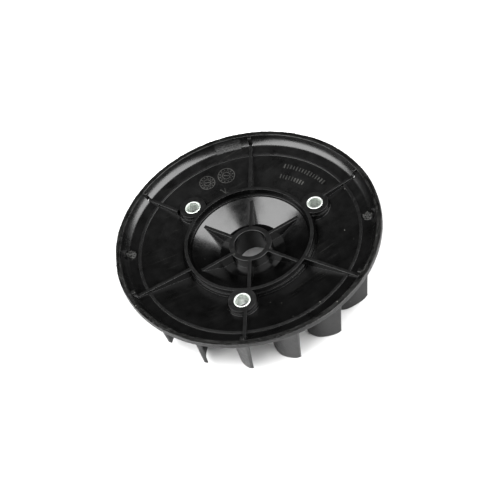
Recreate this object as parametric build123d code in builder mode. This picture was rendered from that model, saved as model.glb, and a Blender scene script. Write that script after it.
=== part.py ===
"""Cooling-fan wheel of a small engine: a moulded dish with curved vanes and three steel sleeves.

The wheel is one glass-filled plastic moulding, written here as its natural regions, which meet
face to face. The steel sleeves are pressed in and take the clamping load of the flywheel screws.

Frame: +Z is the crankshaft axis, towards the dished side that faces the flywheel. The origin is
on that axis, in the plane of the vane tips. +X runs along one of the six ribs. Millimetres.
"""
import os
from math import cos, radians, sin, sqrt, tan

from build123d import *

# ---- Driving dimensions -------------------------------------------------------------------
overall_height = 37.2        # vane tips to the rim's lip
rim_radius = 65.0
lip_band = 2.5               # height of the rim's outer band
wall = 2.05                  # thickness of the dish, measured along Z

cove_radius = 7.4            # concave wall that climbs to the lip
cove_foot_slope = 41.5       # degrees, where the cove starts
cove_foot_radius = 59.8
cove_foot_drop = 5.3         # below the lip
floor_slope = 11.8           # degrees; the floor of the dish is a shallow cone

mount_drop = 6.2             # the mounting plane lies this far below the lip
ring_inner = 30.2
ring_outer = 31.9
ring_collar_outer = 32.6     # thicker foot of the ring
ring_collar_drop = 9.0

hub_bore = 8.0
hub_outer = 10.75
hub_drop = 11.3              # top of the hub below the lip
hub_length = 14.2
hub_floor_radius = 16.2
hub_floor_drop = 17.0
hub_cone_slope = 27.4        # degrees

ridge_radius = 54.4
ridge_width = 1.3
ridge_drop = 5.85

rib_count = 6
rib_width = 1.7
outer_rib_end_drop = 4.7     # top of an outer rib at the cove
inner_rib_tip_radius = 26.9

screw_circle_radius = 36.9
screw_angles = (-2.35, 112.13, 237.04)   # uneven, so the wheel fits the flywheel one way only
boss_radius = 6.7
boss_collar_radius = 7.4
boss_collar_drop = 7.8
boss_foot_drop = 14.1
sleeve_outer = 4.0
sleeve_inner = 3.25
sleeve_length = 8.0
sleeve_chamfer = 0.3

vane_count = 16
vane_phase = 15.9           # degrees, of the first vane's own X axis
vane_curve_centre = (43.0, 10.7)   # of the blade's arc, in the vane's own frame
vane_curve_radius = 20.15
vane_thickness = 1.9
vane_arc_start, vane_arc_end = -102.0, -33.0
vane_end_angle = -37.0       # degrees; the outer end is square to the blade here
vane_end_reach = 1.66        # at the tips the outer end stops short of that angle by this much
vane_end_draft = 0.096       # and reaches further by this much for each millimetre of height
vane_inner_tip, vane_inner_root = 44.8, 43.2
vane_corner = 1.5
vane_heel_radius = 50.0      # the tip edge rises outwards from here
vane_heel_rounding = 6.0
vane_toe = ((58.4, 5.7), (59.4, 7.4))     # radius and height of the blunt outer corner
vane_outer_root = 61.1

window_inner, window_outer = 60.0, 61.7  # slot under each lip tab
tab_inner = 60.3
tab_drop, tab_thickness = 0.35, 1.5
tab_width = 2.0

# ---- Heights worked out from them ---------------------------------------------------------
lip_z = overall_height
mount_z = lip_z - mount_drop
hub_top_z = lip_z - hub_drop
hub_bottom_z = hub_top_z - hub_length
hub_floor_z = lip_z - hub_floor_drop
boss_foot_z = lip_z - boss_foot_drop
clearance_z = lip_z + 5.0    # above everything, for cutting tools

cove_foot_z = lip_z - cove_foot_drop
cove_centre_r = cove_foot_radius - cove_radius * sin(radians(cove_foot_slope))
cove_centre_z = cove_foot_z + cove_radius * cos(radians(cove_foot_slope))
cove_back_radius = cove_radius + wall
back_join_r = cove_centre_r + cove_back_radius * sin(radians(cove_foot_slope))
back_join_z = cove_centre_z - cove_back_radius * cos(radians(cove_foot_slope))


def floor_z(r):
    """Height of the dish's floor at radius r."""
    return cove_foot_z - (cove_foot_radius - r) * tan(radians(floor_slope))


def cone_z(r):
    """Height of the hub cone's surface at radius r."""
    return hub_floor_z + (r - hub_floor_radius) * tan(radians(hub_cone_slope))


def cove_r(z, radius):
    """Radius at height z of an arc of the given radius about the cove's centre."""
    return cove_centre_r + sqrt(radius ** 2 - (z - cove_centre_z) ** 2)


def back_z(r):
    """Height of the dish's back at radius r, out to where the back of the cove begins."""
    if r <= cove_foot_radius:
        return floor_z(r) - wall
    along = (r - cove_foot_radius) / (back_join_r - cove_foot_radius)
    return cove_foot_z - wall + along * (back_join_z - cove_foot_z + wall)


def rib_top_z(r):
    """Height of an outer rib's top edge, which rises from the ring to the cove."""
    along = (r - ring_outer) / (cove_foot_radius - ring_outer)
    return mount_z + along * (mount_drop - outer_rib_end_drop)


def revolve_section(points):
    """Ring-shaped solid with the given (r, z) polygon as its section, for cutting."""
    with BuildPart(mode=Mode.PRIVATE) as ring:
        with BuildSketch(Plane.XZ):
            with BuildLine():
                Polyline(*points, close=True)
            make_face()
        revolve(axis=Axis.Z)
    return ring.part


def save(builder, label):
    """Label a finished sub-part and write its STEP file."""
    builder.part.label = label
    export_step(builder.part, f"parts/{label}.step")


os.makedirs("parts", exist_ok=True)

# ---- Cutting tools ------------------------------------------------------------------------
lip_inner = cove_r(lip_z, cove_radius)

below_floor = revolve_section([
    (ring_outer, -1), (ring_outer, floor_z(ring_outer)), (cove_foot_radius, cove_foot_z),
    (cove_foot_radius, -1),
])
ring_and_inside = revolve_section([
    (0, -1), (ring_collar_outer, -1), (ring_collar_outer, lip_z - ring_collar_drop),
    (ring_outer, lip_z - ring_collar_drop), (ring_outer, clearance_z), (0, clearance_z),
])
below_cone = revolve_section([
    (0, -1), (0, hub_floor_z), (hub_floor_radius, hub_floor_z),
    (ring_inner, cone_z(ring_inner)), (ring_inner, -1),
])


def screw_places():
    """Locations of the three screws, in the plane of the vane tips."""
    return [Location((screw_circle_radius * cos(radians(a)), screw_circle_radius * sin(radians(a)), 0))
            for a in screw_angles]


# ---- Rim: cove, lip, lip tabs and the windows under them ----------------------------------
with BuildPart() as rim:
    with BuildSketch(Plane.XZ):
        with BuildLine():
            ThreePointArc(
                (cove_foot_radius, cove_foot_z),
                (cove_r(lip_z - 0.5 * cove_foot_drop, cove_radius), lip_z - 0.5 * cove_foot_drop),
                (lip_inner, lip_z),
            )
            band_z = lip_z - lip_band
            back_r = cove_r(band_z, cove_back_radius)
            middle_z = (band_z + back_join_z) / 2
            Polyline((lip_inner, lip_z), (rim_radius, lip_z), (rim_radius, band_z), (back_r, band_z))
            ThreePointArc(
                (back_r, band_z),
                (cove_r(middle_z, cove_back_radius), middle_z),
                (back_join_r, back_join_z),
            )
            Polyline((back_join_r, back_join_z), (cove_foot_radius, cove_foot_z - wall),
                     (cove_foot_radius, cove_foot_z))
        make_face()
    revolve(axis=Axis.Z)
    with PolarLocations((window_inner + window_outer) / 2, rib_count):
        Box(window_outer - window_inner, tab_width, lip_z, mode=Mode.SUBTRACT,
            align=(Align.CENTER, Align.CENTER, Align.MIN))
    tab_top_z = lip_z - tab_drop
    with BuildSketch(Plane.XY.offset(tab_top_z - tab_thickness)):
        with PolarLocations((tab_inner + lip_inner + 0.8) / 2, rib_count):
            Rectangle(lip_inner + 0.8 - tab_inner, tab_width)
    extrude(amount=tab_thickness)
save(rim, "rim")

# ---- Dish floor ---------------------------------------------------------------------------
with BuildPart() as dish_floor:
    with BuildSketch(Plane.XZ):
        with BuildLine():
            Polyline(
                (ring_collar_outer, floor_z(ring_collar_outer)),
                (cove_foot_radius, cove_foot_z),
                (cove_foot_radius, cove_foot_z - wall),
                (ring_collar_outer, floor_z(ring_collar_outer) - wall),
                close=True,
            )
        make_face()
    revolve(axis=Axis.Z)
    with Locations(*screw_places()):
        Cylinder(boss_collar_radius, clearance_z, mode=Mode.SUBTRACT,
                 align=(Align.CENTER, Align.CENTER, Align.MIN))
save(dish_floor, "dish_floor")

# ---- Thin circular ridge, broken where the ribs cross it ----------------------------------
with BuildPart() as circular_ridge:
    inner_r, outer_r = ridge_radius - ridge_width / 2, ridge_radius + ridge_width / 2
    ridge_z = lip_z - ridge_drop
    with BuildSketch(Plane.XZ):
        with BuildLine():
            Polyline((inner_r, floor_z(inner_r)), (outer_r, floor_z(outer_r)),
                     (outer_r - 0.1, ridge_z), (inner_r + 0.1, ridge_z), close=True)
        make_face()
    revolve(axis=Axis.Z)
    with PolarLocations(ridge_radius, rib_count):
        Box(4 * ridge_width, rib_width, 2 * clearance_z, mode=Mode.SUBTRACT)
save(circular_ridge, "circular_ridge")

# ---- Ring round the hub cone --------------------------------------------------------------
with BuildPart() as locating_ring:
    ring_foot_z = floor_z(ring_collar_outer) - wall
    collar_z = lip_z - ring_collar_drop
    with BuildSketch(Plane.XZ):
        with BuildLine():
            Polyline((ring_inner, ring_foot_z), (ring_collar_outer, ring_foot_z),
                     (ring_collar_outer, collar_z), (ring_outer, collar_z),
                     (ring_outer, mount_z), (ring_inner, mount_z), close=True)
        make_face()
    revolve(axis=Axis.Z)
save(locating_ring, "locating_ring")

# ---- Hub cone and hub boss ----------------------------------------------------------------
with BuildPart() as hub_cone:
    with BuildSketch(Plane.XZ):
        with BuildLine():
            Polyline((hub_outer, hub_floor_z), (hub_floor_radius, hub_floor_z),
                     (ring_inner, cone_z(ring_inner)), (ring_inner, cone_z(ring_inner) - wall),
                     (hub_floor_radius, hub_floor_z - wall), (hub_outer, hub_floor_z - wall),
                     close=True)
        make_face()
    revolve(axis=Axis.Z)
save(hub_cone, "hub_cone")

with BuildPart() as hub_boss:
    with BuildSketch(Plane.XY.offset(hub_bottom_z)):
        Circle(hub_outer)
        Circle(hub_bore, mode=Mode.SUBTRACT)
    extrude(amount=hub_length)
save(hub_boss, "hub_boss")

# ---- Screw bosses and their steel sleeves -------------------------------------------------
for number, place in enumerate(screw_places(), start=1):
    with BuildPart() as screw_boss:
        with Locations(place):
            with Locations((0, 0, boss_foot_z)):
                Cylinder(boss_collar_radius, lip_z - boss_collar_drop - boss_foot_z,
                         align=(Align.CENTER, Align.CENTER, Align.MIN))
                Cylinder(boss_radius, mount_z - boss_foot_z,
                         align=(Align.CENTER, Align.CENTER, Align.MIN))
            Cylinder(sleeve_outer, clearance_z, mode=Mode.SUBTRACT,
                     align=(Align.CENTER, Align.CENTER, Align.MIN))
        add(ring_and_inside, mode=Mode.SUBTRACT)
    save(screw_boss, f"screw_boss_{number}")

    with BuildPart() as sleeve:
        with BuildSketch(Plane.XY.offset(mount_z - sleeve_length)):
            with Locations((place.position.X, place.position.Y)):
                Circle(sleeve_outer)
                Circle(sleeve_inner, mode=Mode.SUBTRACT)
        extrude(amount=sleeve_length)
        chamfer(sleeve.edges().filter_by(GeomType.CIRCLE).filter_by(
            lambda edge: abs(edge.radius - sleeve_outer) < 0.01), length=sleeve_chamfer)
    save(sleeve, f"screw_sleeve_{number}")

# ---- Ribs: six outside the ring and six inside it, in line --------------------------------
for number in range(1, rib_count + 1):
    heading = (number - 1) * 360 / rib_count
    rib_plane = Plane.XZ.rotated((0, 0, heading))
    runs_into_boss = number % 2 == 1
    rib_start = screw_circle_radius if runs_into_boss else ring_outer - 1

    with BuildPart() as outer_rib:
        with BuildSketch(rib_plane):
            with BuildLine():
                Polyline((rib_start, floor_z(rib_start) - 1), (cove_foot_radius, cove_foot_z - 1),
                         (cove_foot_radius, rib_top_z(cove_foot_radius)),
                         (rib_start, rib_top_z(rib_start)), close=True)
            make_face()
        extrude(amount=rib_width / 2, both=True)
        add(below_floor, mode=Mode.SUBTRACT)
        add(ring_and_inside, mode=Mode.SUBTRACT)
        with Locations(*screw_places()):
            Cylinder(boss_radius, clearance_z, mode=Mode.SUBTRACT,
                     align=(Align.CENTER, Align.CENTER, Align.MIN))
            Cylinder(boss_collar_radius, lip_z - boss_collar_drop, mode=Mode.SUBTRACT,
                     align=(Align.CENTER, Align.CENTER, Align.MIN))
    save(outer_rib, f"outer_rib_{number}")

    with BuildPart() as inner_rib:
        with BuildSketch(rib_plane):
            with BuildLine():
                Polyline((0, hub_floor_z - 1), (hub_floor_radius, hub_floor_z - 1),
                         (inner_rib_tip_radius, cone_z(inner_rib_tip_radius) - 1),
                         (inner_rib_tip_radius, hub_top_z), (0, hub_top_z), close=True)
            make_face()
        extrude(amount=rib_width / 2, both=True)
        add(below_cone, mode=Mode.SUBTRACT)
        Cylinder(hub_outer, clearance_z, mode=Mode.SUBTRACT,
                 align=(Align.CENTER, Align.CENTER, Align.MIN))
    save(inner_rib, f"inner_rib_{number}")

# ---- Vanes: curved blades that hang from the back of the dish -----------------------------
with BuildPart(mode=Mode.PRIVATE) as vane_envelope:
    with BuildSketch(Plane.XZ) as envelope_section:
        with BuildLine():
            Polyline((vane_inner_tip, 0), (vane_heel_radius, 0), *vane_toe,
                     (vane_outer_root, back_z(vane_outer_root)), (cove_foot_radius, back_z(cove_foot_radius)),
                     (vane_inner_root, back_z(vane_inner_root)), close=True)
        make_face()
        tip_corners = envelope_section.vertices().group_by(Axis.Y)[0].sort_by(Axis.X)
        fillet(tip_corners[0], radius=vane_corner)
        heel = envelope_section.vertices().group_by(Axis.Y)[0].sort_by(Axis.X)[-1]
        fillet(heel, radius=vane_heel_rounding)
    revolve(axis=Axis.Z)

for number in range(1, vane_count + 1):
    heading = vane_phase + (number - 1) * 360 / vane_count
    sweep_angle = vane_arc_end - vane_arc_start
    with BuildPart() as vane:
        with BuildSketch(Plane.XY.rotated((0, 0, heading))):
            with BuildLine():
                outside = CenterArc(vane_curve_centre, vane_curve_radius + vane_thickness / 2,
                                    vane_arc_start, sweep_angle)
                inside = CenterArc(vane_curve_centre, vane_curve_radius - vane_thickness / 2,
                                   vane_arc_start, sweep_angle)
                Line(outside @ 0, inside @ 0)
                Line(outside @ 1, inside @ 1)
            make_face()
        extrude(amount=lip_z)
        add(vane_envelope.part, mode=Mode.INTERSECT)
        end_direction = Vector(1, 0).rotate(Axis.Z, heading + vane_end_angle)
        end_origin = (Vector(*vane_curve_centre).rotate(Axis.Z, heading)
                      + end_direction * vane_curve_radius)
        end_plane = Plane(origin=end_origin, x_dir=end_direction.rotate(Axis.Z, 90), z_dir=end_direction)
        with BuildSketch(end_plane):
            with BuildLine():
                Polyline((-vane_end_reach, 0), (8, 0), (8, lip_z),
                         (vane_end_draft * lip_z - vane_end_reach, lip_z), close=True)
            make_face()
        extrude(amount=2 * vane_thickness, both=True, mode=Mode.SUBTRACT)
        with Locations(*screw_places()):
            Cylinder(boss_collar_radius, clearance_z, mode=Mode.SUBTRACT,
                     align=(Align.CENTER, Align.CENTER, Align.MIN))
    save(vane, f"vane_{number:02d}")
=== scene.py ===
"""A moulded cooling-fan wheel from a small engine, lying on its vanes with the dished side up.

The wheel is one injection moulding in black glass-filled polypropylene, with three zinc-plated
steel sleeves for the flywheel screws. Each region of the moulding is a piece of its own, made
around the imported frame. Sizes in the classes are millimetres and angles are degrees; a mesh is
turned to metres when its object is made.
"""

import logging
import math
from dataclasses import dataclass
from enum import Enum
from typing import Callable, Sequence

import bmesh
import bpy
import numpy as np
from mathutils import Matrix, Vector, noise


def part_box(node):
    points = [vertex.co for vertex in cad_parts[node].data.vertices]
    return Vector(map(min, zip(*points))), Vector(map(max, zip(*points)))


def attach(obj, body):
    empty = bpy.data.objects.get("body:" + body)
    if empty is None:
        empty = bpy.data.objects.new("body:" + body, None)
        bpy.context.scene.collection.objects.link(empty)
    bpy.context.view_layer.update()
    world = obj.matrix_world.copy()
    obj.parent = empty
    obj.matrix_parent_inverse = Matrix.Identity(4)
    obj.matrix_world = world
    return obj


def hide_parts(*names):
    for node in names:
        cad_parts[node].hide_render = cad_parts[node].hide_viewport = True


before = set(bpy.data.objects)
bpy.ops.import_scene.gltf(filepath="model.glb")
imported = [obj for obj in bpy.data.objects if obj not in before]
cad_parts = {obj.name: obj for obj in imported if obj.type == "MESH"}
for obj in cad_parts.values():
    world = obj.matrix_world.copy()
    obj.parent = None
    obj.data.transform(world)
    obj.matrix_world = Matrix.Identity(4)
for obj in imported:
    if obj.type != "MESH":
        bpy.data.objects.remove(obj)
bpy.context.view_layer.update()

LOG = logging.getLogger("fan_wheel")
MM = 0.001
BODY = "root"
PLASTIC, STEEL = "moulded_plastic", "sleeve_steel"
Point = tuple[float, float]
Profile = Callable[[float], float]
UPRIGHT_NORMAL = 0.55  # a face whose normal rises less than this counts as a side


# ------------------------------------------------------------------------------------------
# Shapes: outlines, lathed rings and the objects made from them
# ------------------------------------------------------------------------------------------


@dataclass(frozen=True)
class Corner:
    """A corner of a section through the axis: its radius, its height and how far it is rounded."""

    r: float
    z: float
    rounding: float = 0.0


@dataclass
class Shell:
    """A mesh in the making: vertices in millimetres, and faces as lists of vertex numbers."""

    vertices: np.ndarray
    faces: list[list[int]]

    def moved(self, matrix: Matrix) -> "Shell":
        """Give the same shell, placed by a matrix in millimetres."""
        turned = np.array([tuple(matrix @ Vector(v)) for v in self.vertices])
        return Shell(turned, self.faces)


def direction(degrees: float) -> np.ndarray:
    """Give the unit vector in the plane at an angle from +X."""
    return np.array((math.cos(math.radians(degrees)), math.sin(math.radians(degrees))))


def soft_ramp(distance: float, softness: float) -> float:
    """Give a ramp that is level before zero and climbs at 1 after it, with a rounded bend."""
    return (distance + math.hypot(distance, softness)) / 2


def fade(distance: float, width: float) -> float:
    """Give a share that climbs evenly from 0 to 1 over a width."""
    return min(1.0, max(0.0, distance / width))


def circle_arc(centre: Point, radius: float, start: float, end: float, steps: int) -> list[Corner]:
    """Points of a circular arc in the section, without rounding.

    Args:
        centre: Radius and height of the arc's centre.
        radius: The arc's radius.
        start: Angle of the first point, from the outward direction.
        end: Angle of the last point.
        steps: Number of chords.

    Returns:
        The points, first to last.
    """
    angles = np.linspace(start, end, steps + 1)
    return [Corner(*(np.array(centre) + radius * direction(a))) for a in angles]


def rounded(corners: Sequence[Corner], support: float = 0.25) -> list[Point]:
    """Round the corners of a closed outline with tangent arcs.

    A supporting point beside each arc keeps the shading of the straight stretch level.

    Args:
        corners: The outline's corners in order.
        support: Distance of the supporting point from the end of the arc.

    Returns:
        Radius and height of each point of the rounded outline.
    """
    outline: list[Point] = []
    for index, corner in enumerate(corners):
        here = np.array((corner.r, corner.z))
        before, after = corners[index - 1], corners[(index + 1) % len(corners)]
        back, ahead = np.array((before.r, before.z)) - here, np.array((after.r, after.z)) - here
        back_length, ahead_length = np.linalg.norm(back), np.linalg.norm(ahead)
        back, ahead = back / back_length, ahead / ahead_length
        half = math.acos(float(np.clip(back @ ahead, -1.0, 1.0))) / 2
        if corner.rounding <= 0 or half > math.radians(88):
            outline.append(tuple(here))
            continue
        setback = corner.rounding / math.tan(half)
        middle = (back + ahead) / np.linalg.norm(back + ahead)
        centre = here + middle * corner.rounding / math.sin(half)
        start, end = here + back * setback - centre, here + ahead * setback - centre
        first = math.atan2(start[1], start[0])
        turn = (math.atan2(end[1], end[0]) - first + math.pi) % (2 * math.pi) - math.pi
        if back_length > setback + 2 * support:
            outline.append(tuple(here + back * (setback + support)))
        steps = max(3, math.ceil(abs(turn) / math.radians(18)))
        for step in range(steps + 1):
            angle = first + turn * step / steps
            outline.append(tuple(centre + corner.rounding * np.array((math.cos(angle), math.sin(angle)))))
        if ahead_length > setback + 2 * support:
            outline.append(tuple(here + ahead * (setback + support)))
    return outline


def loft(rows: Sequence[np.ndarray], ring: bool, capped: bool = False) -> Shell:
    """Join closed rows of points into one skin.

    Args:
        rows: Rows with the same number of points, each a closed loop.
        ring: True to join the last row to the first.
        capped: True to close the first and last rows with a face.

    Returns:
        The shell.
    """
    count, width = len(rows), len(rows[0])
    faces = []
    for row in range(count if ring else count - 1):
        low, high = row * width, (row + 1) % count * width
        for k in range(width):
            following = (k + 1) % width
            faces.append([low + k, low + following, high + following, high + k])
    if capped:
        faces.append(list(range(width))[::-1])
        faces.append([(count - 1) * width + k for k in range(width)])
    return Shell(np.concatenate(rows), faces)


def lathe(outline: Sequence[Point], steps: int) -> Shell:
    """Turn a closed outline about the Z axis.

    Args:
        outline: Radius and height of each point.
        steps: Number of facets round the axis.

    Returns:
        The ring-shaped shell.
    """
    section = np.array(outline)
    rows = []
    for step in range(steps):
        out = direction(360 * step / steps)
        rows.append(np.column_stack((section[:, :1] * out, section[:, 1])))
    return loft(rows, ring=True)


def make_piece(name: str, shell: Shell, finishes: Sequence[bpy.types.Material],
               crease: float = 32) -> bpy.types.Object:
    """Turn a shell to an object in metres, with faces outwards and creases kept sharp.

    Args:
        name: The object's name.
        shell: The mesh, in millimetres.
        finishes: The materials for its slots.
        crease: Angle in degrees above which an edge stays sharp.

    Returns:
        The new object, linked to the scene.
    """
    mesh = bpy.data.meshes.new(name)
    mesh.from_pydata((shell.vertices * MM).tolist(), [], shell.faces)
    for finish in finishes:
        mesh.materials.append(finish)
    piece = bpy.data.objects.new(name, mesh)
    bpy.context.scene.collection.objects.link(piece)
    tidy_mesh(piece, crease)
    return piece


def tidy_mesh(piece: bpy.types.Object, crease: float = 32) -> None:
    """Merge doubles, turn faces outwards and mark the creases of a piece.

    Args:
        piece: The object to tidy.
        crease: Angle in degrees above which an edge stays sharp.
    """
    work = bmesh.new()
    work.from_mesh(piece.data)
    bmesh.ops.remove_doubles(work, verts=work.verts, dist=1e-7)
    bmesh.ops.recalc_face_normals(work, faces=work.faces)
    work.to_mesh(piece.data)
    work.free()
    piece.data.shade_smooth()
    piece.data.set_sharp_from_angle(angle=math.radians(crease))


def settle(piece: bpy.types.Object, crease: float = 32) -> None:
    """Turn a piece's modifiers into plain mesh.

    Args:
        piece: The object with live modifiers.
        crease: Angle in degrees above which an edge stays sharp.
    """
    evaluated = piece.evaluated_get(bpy.context.evaluated_depsgraph_get())
    mesh = bpy.data.meshes.new_from_object(evaluated)
    piece.modifiers.clear()
    piece.data = mesh
    tidy_mesh(piece, crease)


def carve(piece: bpy.types.Object, cutters: Sequence[bpy.types.Object]) -> None:
    """Cut solids out of a piece and delete them.

    Args:
        piece: The closed piece to cut.
        cutters: The closed solids to take away.
    """
    for cutter in cutters:
        cut = piece.modifiers.new("cut", "BOOLEAN")
        cut.operation, cut.solver, cut.object = "DIFFERENCE", "EXACT", cutter
    settle(piece)
    for cutter in cutters:
        bpy.data.objects.remove(cutter)


def box_shell(size: Sequence[float], centre: Sequence[float], turn: float = 0.0) -> Shell:
    """A plain box as a shell.

    Args:
        size: Lengths along its own axes.
        centre: Its middle, before turning.
        turn: Angle about the Z axis that it is then turned by.

    Returns:
        The box.
    """
    half, signs = np.array(size) / 2, ((-1, -1), (1, -1), (1, 1), (-1, 1))
    rows = [np.array([(x, y, z) for x, y in signs]) * half for z in (-1, 1)]
    shell = loft([row + np.array(centre) for row in rows], ring=False, capped=True)
    return shell.moved(Matrix.Rotation(math.radians(turn), 4, "Z"))


# ------------------------------------------------------------------------------------------
# Node trees
# ------------------------------------------------------------------------------------------


def add_node(tree: bpy.types.NodeTree, kind: str, inputs: dict | None = None, **settings) -> bpy.types.Node:
    """Add a node with its settings and links.

    Args:
        tree: The tree that the node goes in.
        kind: Blender's name for the node type.
        inputs: Input name or number, and the output socket or constant that it takes.
        **settings: Properties of the node itself.

    Returns:
        The new node.
    """
    node = tree.nodes.new(kind)
    for name, value in settings.items():
        setattr(node, name, value)
    for key, value in (inputs or {}).items():
        if isinstance(value, bpy.types.NodeSocket):
            tree.links.new(value, node.inputs[key])
        else:
            node.inputs[key].default_value = value
    return node


def linear(hex_colour: str) -> tuple[float, float, float, float]:
    """Turn an sRGB hex colour to linear RGBA.

    Args:
        hex_colour: Six hexadecimal digits.

    Returns:
        Red, green, blue and an alpha of 1.
    """
    channels = [int(hex_colour[i:i + 2], 16) / 255 for i in (0, 2, 4)]
    lit = [c / 12.92 if c <= 0.04045 else ((c + 0.055) / 1.055) ** 2.4 for c in channels]
    return (*lit, 1.0)


@dataclass
class PolarArray:
    """Repeats a mesh at even angles about the Z axis, with Geometry Nodes."""

    count: int
    first_angle: float
    finish: bpy.types.Material

    def tree(self) -> bpy.types.NodeTree:
        """Build the node tree, with its sizes as named inputs."""
        tree = bpy.data.node_groups.new("polar_array", "GeometryNodeTree")
        sockets = (("Mesh", "NodeSocketGeometry"), ("Count", "NodeSocketInt"),
                   ("First Angle", "NodeSocketFloat"), ("Finish", "NodeSocketMaterial"))
        for name, kind in sockets:
            tree.interface.new_socket(name, in_out="INPUT", socket_type=kind)
        tree.interface.new_socket("Mesh", in_out="OUTPUT", socket_type="NodeSocketGeometry")
        given = add_node(tree, "NodeGroupInput").outputs
        places = add_node(tree, "GeometryNodePoints", {"Count": given["Count"]})
        number = add_node(tree, "GeometryNodeInputIndex")
        pitch = add_node(tree, "ShaderNodeMath", {0: math.tau, 1: given["Count"]}, operation="DIVIDE")
        angle = add_node(tree, "ShaderNodeMath", {
            0: number.outputs[0], 1: pitch.outputs[0], 2: given["First Angle"]}, operation="MULTIPLY_ADD")
        turn = add_node(tree, "ShaderNodeCombineXYZ", {"Z": angle.outputs[0]})
        placed = add_node(tree, "GeometryNodeInstanceOnPoints", {
            "Points": places.outputs[0], "Instance": given["Mesh"], "Rotation": turn.outputs[0]})
        plain = add_node(tree, "GeometryNodeRealizeInstances", {"Geometry": placed.outputs[0]})
        dressed = add_node(tree, "GeometryNodeSetMaterial",
                           {"Geometry": plain.outputs[0], "Material": given["Finish"]})
        add_node(tree, "NodeGroupOutput", {"Mesh": dressed.outputs[0]})
        return tree

    def apply(self, piece: bpy.types.Object, crease: float = 32) -> None:
        """Repeat the piece and leave it as one plain mesh.

        Args:
            piece: The object that holds one copy.
            crease: Angle in degrees above which an edge stays sharp.
        """
        modifier = piece.modifiers.new("repeat", "NODES")
        modifier.node_group = self.tree()
        values = {"Count": self.count, "First Angle": math.radians(self.first_angle), "Finish": self.finish}
        for item in modifier.node_group.interface.items_tree:
            if item.in_out == "INPUT" and item.name in values:
                modifier[item.identifier] = values[item.name]
        settle(piece, crease)


# ------------------------------------------------------------------------------------------
# Finishes
# ------------------------------------------------------------------------------------------


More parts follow.
